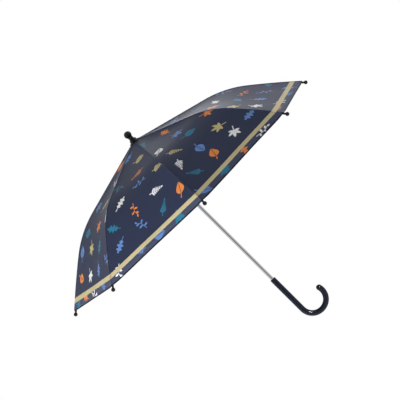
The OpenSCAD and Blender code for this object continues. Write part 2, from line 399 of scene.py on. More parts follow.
@dataclass(frozen=True)
class CanopyShape:
    """Shape of the canopy over its ribs, in millimetres and degrees."""

    pivot_r: float
    pivot_z: float
    first_rib: float
    rib_count: int = 8
    rib_slope: float = 15.0
    inner_len: float = 168.0
    bend_len: float = 97.0
    bend_turn: float = 23.5
    outer_len: float = 120.0
    outer_turn: float = 3.5
    cloth_off: float = 3.2
    cloth_start: float = 1.0
    hem_dip: float = 0.5
    sag: float = 4.5
    curl: float = 2.4
    curl_w: float = 15.0
    curl_fade: float = 18.0
    ripple: float = 0.9
    ripple_len: float = 75.0
    ripple_fade: float = 25.0
    # How far apart two gores lie in the noise, so that each has ripples of its own.
    ripple_step: float = 5.0

    @classmethod
    def from_frame(cls) -> "CanopyShape":
        """Reads the first rib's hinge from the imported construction.

        Returns:
            The shape on that hinge.
        """
        hinge = next(j for j in frame["joints"] if j["name"] == "rib_1_fold")
        x, y, z = (c / MM for c in hinge["pos_m"])
        return cls(math.hypot(x, y), z, math.degrees(math.atan2(y, x)))

    @property
    def half_pitch(self) -> float:
        """Half the angle between two ribs, in radians."""
        return math.pi / self.rib_count

    @property
    def rib_len(self) -> float:
        """Length of a rib from its hinge to the canopy's corner."""
        return self.inner_len + self.bend_len + self.outer_len

    def slope(self, s: np.ndarray) -> np.ndarray:
        """Angles of the rib below level.

        Args:
            s: Lengths along the rib from its hinge.

        Returns:
            Angles in radians.
        """
        bend = np.clip((s - self.inner_len) / self.bend_len, 0, 1) * self.bend_turn
        outer = (s - self.inner_len - self.bend_len) / self.outer_len
        return np.radians(self.rib_slope + bend + np.maximum(outer, 0) * self.outer_turn)

    def line(self, s: np.ndarray, off: float) -> tuple[np.ndarray, np.ndarray]:
        """Points of a line beside the rib.

        Args:
            s: Lengths along the rib from its hinge.
            off: Distance from the rib's axis, outwards.

        Returns:
            Radii and heights.
        """
        step, before, after = 0.25, 10.0, 20.0
        grid = np.arange(-before, self.rib_len + after, step)
        middle = self.slope(grid[:-1] + step / 2)
        radius = np.concatenate([[0.0], np.cumsum(np.cos(middle) * step)])
        height = np.concatenate([[0.0], np.cumsum(-np.sin(middle) * step)])
        radius += self.pivot_r - np.interp(0.0, grid, radius)
        height += self.pivot_z - np.interp(0.0, grid, height)
        angle = self.slope(s)
        r = np.interp(s, grid, radius) + off * np.sin(angle)
        z = np.interp(s, grid, height) + off * np.cos(angle)
        return r, z

    def half_width(self, s: np.ndarray) -> np.ndarray:
        """Width of the cloth from a rib to the middle of the gore."""
        return self.line(s, self.cloth_off)[0] * math.sin(self.half_pitch)

    def flat_table(self) -> tuple[np.ndarray, np.ndarray]:
        """Sets lengths along a rib beside lengths on the flat cloth.

        Returns:
            Lengths along a rib, and the flat cloth's lengths down the middle of the gore.
        """
        count = 800
        s = np.linspace(self.cloth_start, self.rib_len, count)
        share = np.cos(self.slope(s)) * math.sin(self.half_pitch)
        rate = np.sqrt(1 - share * share)
        m = np.concatenate([[0.0], np.cumsum((rate[1:] + rate[:-1]) / 2 * np.diff(s))])
        return s, m

    def azimuth(self, rib: int) -> float:
        """Turn of a rib about the shaft, in radians."""
        return math.radians(self.first_rib) + (rib - 1) * 2 * self.half_pitch


class Side(Enum):
    """The half gore before a rib and the one after it, named as in the construction."""

    LEFT = -1
    RIGHT = 1

    @property
    def word(self) -> str:
        """The side's name in the names of pieces."""
        return self.name.lower()


class FlatGore:
    """The flat cut of half a gore, where u runs from the middle to the rib and m down the gore."""

    HEM_POINTS = 80
    AREA_ROWS = 400
    AREA_COLUMNS = 120

    def __init__(self, shape: CanopyShape) -> None:
        """Keeps the canopy's shape and its table of lengths."""
        self.shape = shape
        self.s_table, self.m_table = shape.flat_table()

    def m_of(self, s: np.ndarray) -> np.ndarray:
        """Length down the gore at a length along the rib."""
        return np.interp(s, self.s_table, self.m_table)

    def s_of(self, m: np.ndarray) -> np.ndarray:
        """Length along the rib at a length down the gore."""
        return np.interp(m, self.m_table, self.s_table)

    def width_at(self, m: np.ndarray) -> np.ndarray:
        """Distance from the middle of the gore to the rib."""
        return self.shape.half_width(self.s_of(m))

    def width(self, m: float) -> float:
        """Distance from the middle of the gore to the rib, at one length down the gore."""
        return float(self.width_at(np.array([m]))[0])

    @property
    def length(self) -> float:
        """Length of the flat cut down the middle of the gore."""
        return float(self.m_table[-1])

    def hem_line(self, inset: float, count: int) -> np.ndarray:
        """A line beside the hem, from the rib to the middle of the gore.

        Args:
            inset: Distance from the hem.
            count: Number of points.

        Returns:
            Points (u, m).
        """
        v = np.linspace(0.0, 1.0, count)
        s_hem = self.shape.rib_len - self.shape.hem_dip * (1 - (1 - v) ** 2)
        m = self.m_of(s_hem) - inset
        return np.stack([(1 - v) * self.width_at(m), m], axis=1)

    def hem_distance(self, u: np.ndarray, m: np.ndarray) -> np.ndarray:
        """Distance down the gore from a point to the hem."""
        line = self.hem_line(0.0, self.HEM_POINTS)[::-1]
        return np.interp(u, line[:, 0], line[:, 1]) - m

    def area(self) -> float:
        """Measures the half gore's flat cut.

        Returns:
            Its area in square millimetres.
        """
        m = np.linspace(0.0, self.length, self.AREA_ROWS)
        u = np.linspace(0.0, self.width(self.length), self.AREA_COLUMNS)
        grid_u, grid_m = (g.ravel() for g in np.meshgrid(u, m))
        inside = (grid_u < self.width_at(grid_m)) & (self.hem_distance(grid_u, grid_m) > 0)
        return float(inside.mean() * u[-1] * m[-1])

    def place(self, points: np.ndarray, side: Side, depth: np.ndarray | float) -> np.ndarray:
        """Lays flat points on the canopy, in the rib's own frame.

        Args:
            points: Flat points (u, m).
            side: The half's side of the rib.
            depth: Distance under the cloth's outside.

        Returns:
            Points (x, y, z) in millimetres, with x out from the shaft along the rib.
        """
        shape = self.shape
        u, m = points[:, 0], points[:, 1]
        s = self.s_of(m)
        r, z = shape.line(s, shape.cloth_off)
        half = shape.half_pitch
        v = np.clip(1 - u / (r * math.sin(half)), 0, 1)
        y = v * r * math.sin(half) * math.cos(half)
        x = r - y * math.tan(half)
        angle = shape.slope(s)
        down = np.stack([np.cos(angle), np.zeros_like(s), -np.sin(angle)], axis=1)
        across = np.array([-math.sin(half), math.cos(half), 0.0])
        normal = np.cross(down, across)
        normal /= np.linalg.norm(normal, axis=1)[:, None]
        share = np.clip(s / shape.rib_len, 0, 1)
        drawn = shape.sag * np.sin(math.pi * share) * v * (2 - v)
        near_hem = np.clip(1 - self.hem_distance(u, m) / shape.curl_w, 0, 1)
        off_rib = np.clip((r * math.sin(half) - u) / shape.curl_fade, 0, 1)
        inward = drawn + shape.curl * near_hem ** 2 * off_rib + depth
        laid = np.stack([x, y, z], axis=1) - normal * inward[:, None]
        laid[:, 1] *= side.value
        return laid


class Motif(Enum):
    """Plant shapes of the print, each drawn by the method of its name."""

    BROAD_LEAF = "broad_leaf"
    LOBED_LEAF = "lobed_leaf"
    FERN = "fern"
    STAR_LEAF = "star_leaf"
    SPRIG = "sprig"


@dataclass(frozen=True)
class LeafPrint:
    """An all-over print of leaves and sprigs, in millimetres on the flat cloth.

    Each motif is drawn round its own middle, in shares of its length.
    """

    length: float = 37.0
    row_step: float = 50.0
    column_step: float = 60.0
    first_row: float = 48.0
    jitter: float = 6.0
    seed: int = 41
    stalk_taper: float = 0.6
    # Beside the hem's stripe, an ink like the stripe's own gives way to another.
    stripe_zone: float = 70.0
    inks: tuple[Ink, ...] = (Ink.ORANGE, Ink.WHITE, Ink.BLUE, Ink.OLIVE, Ink.TEAL)

    def at(self, x: float, y: float) -> Vector:
        """A point of a motif, from shares of its length."""
        return Vector((x * self.length, y * self.length))

    def lens(self, start: Vector, end: Vector, width: float, power: float = 0.8) -> Outline:
        """A leaf blade between two points.

        Args:
            start: The blade's foot.
            end: The blade's tip.
            width: The widest part.
            power: Below 1 for a full blade, above 1 for a slim one.

        Returns:
            The blade's outline.
        """
        steps = 7
        axis = end - start
        side = Vector((-axis.y, axis.x)).normalized()
        edge = []
        for i in range(1, steps):
            t = i / steps
            edge.append((t, width / 2 * math.sin(math.pi * t) ** power))
        right = [start + axis * t - side * w for t, w in edge]
        left = [start + axis * t + side * w for t, w in reversed(edge)]
        return [start, *right, end, *left]

    def stalk(self, start: Vector, end: Vector, width: float) -> Outline:
        """A thin stalk between two points, slimmer at its end.

        Args:
            start: The stalk's foot.
            end: Its end.
            width: Its width at the foot.

        Returns:
            The stalk's outline.
        """
        side = Vector((start.y - end.y, end.x - start.x)).normalized() * width / 2
        slim = side * self.stalk_taper
        return [start - side, end - slim, end + slim, start + side]

    def broad_leaf(self) -> list[Outline]:
        """A pointed leaf in two halves, with its midrib left open, on a stalk.

        Returns:
            The outlines of the stalk and the two halves.
        """
        size = self.length
        steps, start, blade = 9, -0.26 * size, 0.78 * size
        widest, midrib = 0.27 * size, 0.035 * size
        shapes = [self.stalk(self.at(-0.52, -0.07), Vector((start, 0)), 0.07 * size)]
        for way in (-1, 1):
            half = [Vector((start, way * midrib / 2)), Vector((start + blade, way * midrib / 2))]
            for i in range(steps - 1, 0, -1):
                t = i / steps
                reach = widest * math.sin(math.pi * t ** 0.7) ** 1.1
                half.append(Vector((start + blade * t, way * (midrib / 2 + reach))))
            shapes.append(half)
        return shapes

    def lobed_leaf(self) -> list[Outline]:
        """A leaf with round lobes, like an oak's.

        Returns:
            The outlines of the leaf and its stalk.
        """
        size = self.length
        steps, lobes, start, blade = 34, 3.5, -0.3 * size, 0.8 * size
        edge = []
        for i in range(1, steps):
            t = i / steps
            wave = 0.68 + 0.32 * math.cos(math.tau * (lobes * t - 0.5))
            edge.append((t, 0.27 * size * math.sin(math.pi * t) ** 0.6 * wave))
        lower = [Vector((start + blade * t, -w)) for t, w in edge]
        upper = [Vector((start + blade * t, w)) for t, w in reversed(edge)]
        outline = [Vector((start, 0)), *lower, Vector((start + blade, 0)), *upper]
        return [outline, self.stalk(self.at(-0.5, 0), self.at(-0.22, 0), 0.06 * size)]

    def fern(self) -> list[Outline]:
        """A frond with paired leaflets that shorten to the tip.

        Returns:
            The outlines of the stalk and the leaflets.
        """
        size = self.length
        pairs = 6
        shapes = [self.stalk(self.at(-0.5, 0), self.at(0.46, 0), 0.055 * size)]
        for i in range(pairs):
            t = i / (pairs - 1)
            foot = self.at(-0.3 + 0.68 * t, 0)
            reach = (0.29 - 0.2 * t) * size
            for way in (-1, 1):
                tip = foot + Vector((0.6 * reach, way * 0.85 * reach))
                shapes.append(self.lens(foot, tip, 0.36 * reach, 0.7))
        shapes.append(self.lens(self.at(0.38, 0), self.at(0.54, 0), 0.08 * size))
        return shapes

    def star_leaf(self) -> list[Outline]:
        """A leaf of five pointed fingers on a stalk.

        Returns:
            The outlines of the stalk and the fingers.
        """
        size = self.length
        heart = self.at(-0.05, 0)
        shapes = [self.stalk(self.at(-0.5, 0.03), heart, 0.06 * size)]
        for turn, reach in ((0, 0.55), (48, 0.48), (-48, 0.48), (102, 0.34), (-102, 0.34)):
            a = math.radians(turn)
            way = Vector((math.cos(a), math.sin(a)))
            tip, foot = heart + way * reach * size, heart - way * 0.06 * size
            shapes.append(self.lens(foot, tip, 0.19 * size, 0.75))
        return shapes

    def sprig(self) -> list[Outline]:
        """A bent twig with round leaves.

        Returns:
            The outlines of the twig and the leaves.
        """
        size = self.length
        bend = self.at(0.05, 0.07)
        start, end = self.at(-0.52, -0.05), self.at(0.4, -0.02)
        shapes = [self.stalk(start, bend, 0.05 * size), self.stalk(bend, end, 0.045 * size)]
        for x, y, turn, reach in (
            (-0.26, 0.01, 118, 0.26),
            (-0.12, 0.03, -62, 0.27),
            (0.04, 0.07, 72, 0.27),
            (0.17, 0.04, -48, 0.26),
            (0.36, -0.01, 8, 0.22),
        ):
            a = math.radians(turn)
            foot = Vector((x, y)) * size
            tip = foot + Vector((math.cos(a), math.sin(a))) * reach * size
            shapes.append(self.lens(foot, tip, 0.5 * reach * size, 0.6))
        return shapes

    def layout(self, gore: int, flat: FlatGore) -> list[tuple[Ink, Outline]]:
        """Places the motifs on one gore.

        Args:
            gore: The gore's number.
            flat: The flat cut.

        Returns:
            An ink and an outline for each piece of each motif, with x across the whole gore.
        """
        draw = random.Random(self.seed + gore)
        motifs = list(Motif)
        placed = []
        count = gore * 2
        row = 0
        m = self.first_row + draw.uniform(-self.jitter, self.jitter)
        last = flat.length
        # The last row may stand partly past the hem.
        while m < last + self.length / 3:
            columns = max(1, round(2 * flat.width(min(m, last)) / self.column_step))
            # Rows stand a quarter column to one side and to the other by turns.
            shift = self.column_step / 4 * (1 if row % 2 else -1)
            for i in range(columns):
                u = (i - (columns - 1) / 2) * self.column_step + shift
                u += draw.uniform(-self.jitter, self.jitter)
                lift = draw.uniform(-self.jitter, self.jitter)
                turn = Matrix.Rotation(draw.uniform(0, math.tau), 2)
                ink = self.inks[count % len(self.inks)]
                if ink is Ink.OLIVE and last - m < self.stripe_zone:
                    ink = Ink.BLUE
                motif = motifs[(count * 3 + row) % len(motifs)]
                count += 1
                middle = Vector((u, m + lift))
                for outline in getattr(self, motif.value)():
                    placed.append((ink, [middle + turn @ p for p in outline]))
            m += self.row_step
            row += 1
        return placed


def mesh_object(name: str, points: np.ndarray, faces: list) -> bpy.types.Object:
    """Makes a mesh object at the origin.

    Args:
        name: The piece's name.
        points: Places in metres.
        faces: Faces, or edges as pairs.

    Returns:
        The object.
    """
    mesh = bpy.data.meshes.new(name)
    edges = [f for f in faces if len(f) == 2]
    mesh.from_pydata([tuple(p) for p in points], edges, [f for f in faces if len(f) > 2])
    mesh.update()
    made = bpy.data.objects.new(name, mesh)
    bpy.context.scene.collection.objects.link(made)
    return made


def print_on(mesh: bpy.types.Mesh, places: np.ndarray, colours: np.ndarray) -> None:
    """Gives a piece of cloth its flat map and its inks.

    Args:
        mesh: The cloth's mesh.
        places: Flat place (u, m) of each vertex, in millimetres.
        colours: Linear RGBA of each face.
    """
    corners = np.zeros(len(mesh.loops), np.int32)
    mesh.loops.foreach_get("vertex_index", corners)
    flat_map = mesh.uv_layers.new(name=FLAT_MAP)
    flat_map.data.foreach_set("uv", (places[corners] * MM).astype(np.float32).ravel())
    sizes = [len(face.vertices) for face in mesh.polygons]
    values = np.repeat(colours, sizes, axis=0).astype(np.float32)
    inks = mesh.color_attributes.new(INK_LAYER, "FLOAT_COLOR", "CORNER")
    inks.data.foreach_set("color", values.ravel())


class NodeShape:
    """A Geometry Nodes tree that turns lines of edges into a plain mesh."""

    def __init__(self, name: str, sizes: tuple[str, ...]) -> None:
        """Starts a tree with its named inputs and its lines as curves.

        Args:
            name: The tree's name.
            sizes: Names of the inputs that are lengths.
        """
        self.tree = bpy.data.node_groups.new(name, "GeometryNodeTree")
        face = self.tree.interface
        face.new_socket("Geometry", in_out="OUTPUT", socket_type="NodeSocketGeometry")
        kinds = {"Line": "Geometry", **dict.fromkeys(sizes, "Float"), "Material": "Material"}
        self.ids = {
            key: face.new_socket(key, in_out="INPUT", socket_type=f"NodeSocket{kind}").identifier
            for key, kind in kinds.items()
        }
        self.add = partial(add_node, self.tree)
        self.given = self.add("NodeGroupInput").outputs
        self.curve = self.add("GeometryNodeMeshToCurve", links={"Mesh": self.given["Line"]})

    def finish(self, shape: bpy.types.Node) -> None:
        """Realizes the instances, sets the material and closes the tree.

        Args:
            shape: The node that makes the shape.
        """
        for kind in ("GeometryNodeRealizeInstances", "GeometryNodeSetShadeSmooth"):
            shape = self.add(kind, links={"Geometry": shape})
        sources = {"Geometry": shape, "Material": self.given["Material"]}
        dressed = self.add("GeometryNodeSetMaterial", links=sources)
        self.add("NodeGroupOutput", links={"Geometry": dressed})

    def make(self, name: str, lines: list[np.ndarray], values: dict) -> bpy.types.Object:
        """Runs the tree on some lines.

        Args:
            name: The piece's name.
            lines: Points of each line, in metres.
            values: The tree's inputs by name.

        Returns:
            The finished piece.
        """
        points = np.concatenate(lines)
        edges, start = [], 0
        for line in lines:
            edges += [(start + i, start + i + 1) for i in range(len(line) - 1)]
            start += len(line)
        piece = mesh_object(name, points, edges)
        modifier = piece.modifiers.new("shape", "NODES")
        modifier.node_group = self.tree
        for key, value in values.items():
            modifier[self.ids[key]] = value
        piece.update_tag()
        graph = bpy.context.evaluated_depsgraph_get()
        made = bpy.data.meshes.new_from_object(piece.evaluated_get(graph))
        piece.modifiers.remove(modifier)
        piece.data = made
        made.name = name
        return piece


class StitchRow(NodeShape):
    """Rows of stitches along lines."""

    def __init__(self) -> None:
        """Builds the tree, with the stitch's sizes as inputs."""
        super().__init__("stitch_row", ("Pitch", "Length", "Thickness"))
        add, given = self.add, self.given
        spaced = add(
            "GeometryNodeResampleCurve",
            {"mode": "LENGTH"},
            {"Curve": self.curve, "Length": given["Pitch"]},
        )
        stitch = add("GeometryNodeMeshUVSphere", {"Segments": 6, "Rings": 4, "Radius": 0.5})
        tangent = add("GeometryNodeInputTangent")
        along = add("FunctionNodeAlignRotationToVector", {"axis": "X"}, {"Vector": tangent})
        size = add(
            "ShaderNodeCombineXYZ",
            links={"X": given["Length"], "Y": given["Thickness"], "Z": given["Thickness"]},
        )
        sewn = {"Points": spaced, "Instance": stitch, "Rotation": along, "Scale": size}
        self.finish(add("GeometryNodeInstanceOnPoints", links=sewn))


class Piping(NodeShape):
    """A round roll of cloth along a line."""

    SIDES = 10

    def __init__(self) -> None:
        """Builds the tree, with the roll's radius as an input."""
        super().__init__("piping", ("Radius",))
        profile = self.add(
            "GeometryNodeCurvePrimitiveCircle",
            {"Resolution": self.SIDES},
            {"Radius": self.given["Radius"]},
        )
        lines = {"Curve": self.curve, "Profile Curve": profile}
        self.finish(self.add("GeometryNodeCurveToMesh", {"Fill Caps": True}, lines))


@dataclass
class Canopy:
    """The printed cloth, its hems, its seams and their stitches, in millimetres."""

    finishes: Finishes
    shape: CanopyShape
    print_design: LeafPrint = field(default_factory=LeafPrint)
    cloth_t: float = 0.35
    hem_t: float = 0.9
    hem_w: float = 9.0
    hem_points: int = 22
    stripe_in: float = 15.5
    stripe_w: float = 10.8
    show_through: float = 0.12
    grid: float = 7.0
    grid_clear: float = 1.6
    pleat_width: float = 104.0
    # Width of the dark band along the hem's edge, which is painted shade.
    edge_shade_w: float = 2.4
    seam_r: float = 0.95
    seam_drop: float = 0.15
    seam_points: int = 110
    # The seam stops short of the rib's hinge and of the canopy's corner.
    seam_ends: Span = (4.0, 1.0)
    # Points of the seam that are left unsewn at its top and at its corner.
    seam_unsewn: tuple[int, int] = (6, 4)
    stitch_pitch: float = 3.0
    stitch_len: float = 2.4
    stitch_t: float = 0.5
    hem_stitch_in: float = 1.5
    hem_stitch_points: int = 60
    seam_stitch_off: float = 2.6

    def __post_init__(self) -> None:
        """Prepares the flat cut and the trees for the sewing."""
        self.flat = FlatGore(self.shape)
        self.stitches = StitchRow()
        self.piping = Piping()

    @property
    def stitch_lift(self) -> float:
        """Height of a stitch's middle over the cloth."""
        return self.stitch_t / 6

    def build(self) -> None:
        """Makes every half gore and every seam."""
        for rib in range(1, self.shape.rib_count + 1):
            for side in Side:
                self.half_gore(rib, side)
            self.seam(rib)

    def to_frame(self, rib: int, points: np.ndarray) -> np.ndarray:
        """Turns points from a rib's own frame to the object's.

        Args:
            rib: The rib's number.
            points: Points in millimetres.

        Returns:
            Points in metres.
        """
        a = self.shape.azimuth(rib)
        turn = np.array([[math.cos(a), -math.sin(a), 0], [math.sin(a), math.cos(a), 0], [0, 0, 1]])
        return points @ turn.T * MM

    def outline(self) -> Outline:
        """Follows the half gore's edge.

        Returns:
            Points from the rib's top down, along the hem and up the middle.
        """
        flat = self.flat
        count = round(flat.length / self.grid)
        rib = [Vector((flat.width(m), m)) for m in np.linspace(0.0, flat.length, count)]
        hem = [Vector(p) for p in flat.hem_line(0.0, self.hem_points)[1:]]
        middle = [Vector((0.0, m)) for m in np.linspace(hem[-1].y, 0.0, count)[1:]]
        return rib + hem + middle

    def band(self, near: float, far: float) -> Outline:
        """A band beside the hem, between two distances from it."""
        low, high = (self.flat.hem_line(inset, self.hem_points) for inset in (near, far))
        return [Vector(p) for p in (*low, *high[::-1])]

    def grid_points(self, outlines: list[Outline]) -> list[Vector]:
        """Points inside the half gore, clear of every printed edge.

        Args:
            outlines: The closed outlines to stay clear of.

        Returns:
            Points on a regular grid.
        """
        shortest = 1e-9
        total = self.flat.length
        m = np.arange(self.grid / 2, total, self.grid)
        u = np.arange(self.grid / 2, self.flat.width(total), self.grid)
        points = np.array([(a, b) for b in m for a in u])
        inside = points[:, 0] < self.flat.width_at(points[:, 1]) - self.grid_clear
        inside &= self.flat.hem_distance(points[:, 0], points[:, 1]) > self.grid_clear
        points = points[inside]
        keep = np.ones(len(points), bool)
        for outline in outlines:
            loop = np.array([tuple(p) for p in outline])
            for a, b in zip(loop, np.roll(loop, -1, axis=0)):
                d = b - a
                t = np.clip((points - a) @ d / max(d @ d, shortest), 0, 1)
                gap = np.linalg.norm(points - a - t[:, None] * d, axis=1)
                keep &= gap > self.grid_clear
        return [Vector(p) for p in points[keep]]

    def cut(self, gore: int, side: Side) -> tuple[np.ndarray, list, list[Ink]]:
        """Cuts the half gore's flat cloth along its edges and its print.

        Args:
            gore: The gore's number, for its print.
            side: The half's side of the rib.

        Returns:
            Flat points, triangles and an ink for each triangle.
        """
        areas = [
            (None, self.outline()),
            (Ink.STRIPE, self.band(self.stripe_in, self.stripe_in + self.stripe_w)),
            # The hem band's lighter colour is painted light.
            (Ink.HEM, self.band(0.0, self.stripe_in)),
            # The dark band at the hem's edge is painted shade.
            (Ink.EDGE, self.band(0.0, self.edge_shade_w)),
            (None, self.band(0.0, self.hem_w)),
        ]
        # A motif that ends this far across the gore's middle isn't on this half.
        beyond = -self.print_design.length / 9
        for ink, loop in self.print_design.layout(gore, self.flat):
            turned = [Vector((-side.value * p.x, p.y)) for p in loop]
            if max(p.x for p in turned) > beyond:
                areas.append((ink, turned))
        points, loops = [], []
        for _, loop in areas:
            twice = sum(a.x * b.y - b.x * a.y for a, b in zip(loop, loop[1:] + loop[:1]))
            ordered = loop if twice > 0 else loop[::-1]
            loops.append(list(range(len(points), len(points) + len(ordered))))
            points += ordered
        points += self.grid_points([loop for _, loop in areas])
        inside_only, merged_under = 1, 1e-4
        found = delaunay_2d_cdt(points, [], loops, inside_only, merged_under)
        flat_points, _, faces, _, _, owners = found
        # Where areas lap, the highest rank is printed. Motifs rank 1.
        rank = {Ink.EDGE: 3, Ink.STRIPE: 2, Ink.HEM: 0}
        kept, inks = [], []
        for face, owner in zip(faces, owners):
            # The first area is the half gore itself.
            if 0 not in owner:
                continue
            named = [areas[i][0] for i in owner if areas[i][0] is not None]
            best = max(named, key=lambda ink: rank.get(ink, 1), default=Ink.GROUND)
            kept.append(list(face))
            inks.append(best)
        used = sorted({i for face in kept for i in face})
        number = {old: new for new, old in enumerate(used)}
        kept = [[number[i] for i in face] for face in kept]
        return np.array([tuple(flat_points[i]) for i in used]), kept, inks

    def half_gore(self, rib: int, side: Side) -> None:
        """Makes one half gore with its hem and its stitches.

        Args:
            rib: The rib that it is sewn to.
            side: The half's side of the rib.
        """
        flip = side is Side.LEFT
        # Each gore has the number of the rib before it.
        gore = (rib - 2) % self.shape.rib_count + 1 if flip else rib
        flat_points, faces, inks = self.cut(gore, side)
        tolerance = 0.01
        hem_gap = self.flat.hem_distance(flat_points[:, 0], flat_points[:, 1])
        thick = np.where(hem_gap < self.hem_w + tolerance, self.hem_t, self.cloth_t)
        ripple = self.ripples(flat_points, rib, side)
        outside = self.flat.place(flat_points, side, ripple)
        inside = self.flat.place(flat_points, side, ripple + thick)
        layer = len(flat_points)
        uses: dict[tuple, list] = {}
        for face in faces:
            for a, b in zip(face, face[1:] + face[:1]):
                uses.setdefault((min(a, b), max(a, b)), []).append((a, b))
        border = [edge[0] for edge in uses.values() if len(edge) == 1]
        top = [face if flip else face[::-1] for face in faces]
        low = [[i + layer for i in face[::-1]] for face in top]
        rim = [[b, a, a + layer, b + layer] for a, b in border]
        rim = [face if flip else face[::-1] for face in rim]
        name = f"gore_cloth_{rib}_{side.word}"
        points = self.to_frame(rib, np.concatenate([outside, inside]))
        piece = mesh_object(name, points, top + low + rim)
        self.paint(piece, flat_points, inks, border)
        piece.data.materials.append(self.finishes.cloth)
        self.bend(piece, rib, side)
        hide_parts(f"gore_{rib}_{side.word}")
        sewn = self.hem_stitches(rib, side)
        length = self.flat.length
        self.flat.width(length) * MM
        self.flat.area() * MM * MM
        LOG.info("%s: %d faces", name, len(piece.data.polygons))

    def ripples(self, flat_points: np.ndarray, rib: int, side: Side) -> np.ndarray:
        """Slight unevenness of the drawn cloth, none at the seams.

        Args:
            flat_points: Flat points (u, m).
            rib: The rib's number.
            side: The half's side of the rib.

        Returns:
            Depth of each point.
        """
        shape = self.shape
        # Both halves of a gore share one place in the noise.
        gore = rib + side.value / 2
        width = self.flat.width_at(flat_points[:, 1])
        depth = []
        for (u, m), w in zip(flat_points, width):
            place = Vector((-side.value * u, m, 0)) / shape.ripple_len
            place.z = (gore % shape.rib_count) * shape.ripple_step
            fade = min(1.0, (w - u) / shape.ripple_fade)
            depth.append(shape.ripple * noise.noise(place) * fade)
        return np.array(depth)

    def paint(
        self, piece: bpy.types.Object, flat_points: np.ndarray, inks: list[Ink], border: list
    ) -> None:
        """Gives the cloth its flat map, its inks and its sharp edges.

        Args:
            piece: The half gore.
            flat_points: Flat points (u, m) of one side.
            inks: The ink of each outside triangle.
            border: The edges of the outside.
        """
        mesh, layer = piece.data, len(flat_points)
        printed = np.array([linear(ink.value) for ink in inks])
        plain = np.array(linear(Ink.REVERSE.value))
        reverse = plain * (1 - self.show_through) + printed * self.show_through
        rim = np.tile(plain, (len(border), 1))
        print_on(mesh, np.tile(flat_points, (2, 1)), np.concatenate([printed, reverse, rim]))
        mesh.shade_smooth()
        sharp = {(min(a, b), max(a, b)) for a, b in border}
        sharp |= {(a + layer, b + layer) for a, b in sharp}
        for edge in mesh.edges:
            edge.use_edge_sharp = tuple(sorted(edge.vertices)) in sharp

    def bend(self, piece: bpy.types.Object, rib: int, side: Side) -> None:
        """Bakes a piece's transform into its mesh; the points of a fold between its rib and its
        half gore's body are worked out but not used.

        Args:
            piece: The piece.
            rib: The rib's number.
            side: The half's side of the rib.
        """
        reach, height = side.value * self.pleat_width, self.shape.pivot_z
        placed = self.to_frame(rib, np.array([[0.0, 0.0, height], [0.0, reach, height]]))
        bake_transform(piece)

    def sew(self, name: str, rib: int, lines: list[np.ndarray]) -> bpy.types.Object:
        """Makes rows of stitches.

        Args:
            name: The piece's name.
            rib: The rib's number.
            lines: Points of each row, in the rib's own frame.

        Returns:
            The stitches.
        """
        values = {
            "Pitch": self.stitch_pitch * MM,
            "Length": self.stitch_len * MM,
            "Thickness": self.stitch_t * MM,
            "Material": self.finishes.thread,
        }
        return self.stitches.make(name, [self.to_frame(rib, line) for line in lines], values)

    def hem_stitches(self, rib: int, side: Side) -> bpy.types.Object:
        """Sews one half gore's hem.

        Args:
            rib: The rib's number.
            side: The half's side of the rib.

        Returns:
            The row of stitches.
        """
        line = self.flat.hem_line(self.hem_w - self.hem_stitch_in, self.hem_stitch_points)[1:-1]
        laid = self.flat.place(line, side, self.ripples(line, rib, side) - self.stitch_lift)
        piece = self.sew(f"hem_stitches_{rib}_{side.word}", rib, [laid])
        self.bend(piece, rib, side)
        return piece

    def print_seam(self, roll: bpy.types.Object, radii: np.ndarray, rings: np.ndarray) -> None:
        """Carries the hem's bands over a rolled seam.

        Args:
            roll: The seam.
            radii: Distances from the shaft of the points on its line.
            rings: Lengths along the rib of these points.
        """
        mesh = roll.data
        places = np.zeros(len(mesh.vertices) * 3, np.float32)
        mesh.vertices.foreach_get("co", places)
        middles = places.reshape(-1, Piping.SIDES, 3).mean(axis=1) / MM
        s = np.interp(np.hypot(middles[:, 0], middles[:, 1]), radii, rings)
        m = np.repeat(self.flat.m_of(s), Piping.SIDES)
        # The seam carries the same bands: the edge band is painted shade and the hem band's
        # lighter colour painted light.
        bands = {
            Ink.EDGE: self.edge_shade_w,
            Ink.HEM: self.stripe_in,
            Ink.STRIPE: self.stripe_in + self.stripe_w,
        }
        colours = []
        for face in mesh.polygons:
            left = self.flat.length - m[list(face.vertices)].mean()
            ink = next((ink for ink, end in bands.items() if left < end), Ink.GROUND)
            colours.append(linear(ink.value))
        print_on(mesh, np.stack([0 * m, m], axis=1), np.array(colours))

    def seam(self, rib: int) -> None:
        """Makes the rolled seam over a rib, with a row of stitches on each side.

        Args:
            rib: The rib's number.
        """
        s = np.linspace(
            self.seam_ends[0], self.shape.rib_len - self.seam_ends[1], self.seam_points
        )
        # Rings at the ends of the bands, among them the painted shade edge and the painted light
        # hem band.
        bands = [self.edge_shade_w, self.stripe_in, self.stripe_in + self.stripe_w]
        printed = self.flat.s_of(self.flat.length - np.array(bands))
        rings = np.sort(np.concatenate([s, printed]))
        r, z = self.shape.line(rings, self.shape.cloth_off - self.seam_drop)
        ridge = np.stack([r, np.zeros_like(r), z], axis=1)
        roll = self.piping.make(
            f"rib_seam_{rib}",
            [self.to_frame(rib, ridge)],
            {"Radius": self.seam_r * MM, "Material": self.finishes.cloth},
        )
        self.print_seam(roll, r, rings)
        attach(roll, f"rib_{rib}")
        top, corner = self.seam_unsewn
        m = self.flat.m_of(s[top:-corner])
        line = np.stack([self.flat.width_at(m) - self.seam_stitch_off, m], axis=1)
        rows = [self.flat.place(line, side, -self.stitch_lift) for side in Side]
        sewn = self.sew(f"seam_stitches_{rib}", rib, rows)
        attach(sewn, f"rib_{rib}")
        LOG.info("rib_seam_%d", rib)


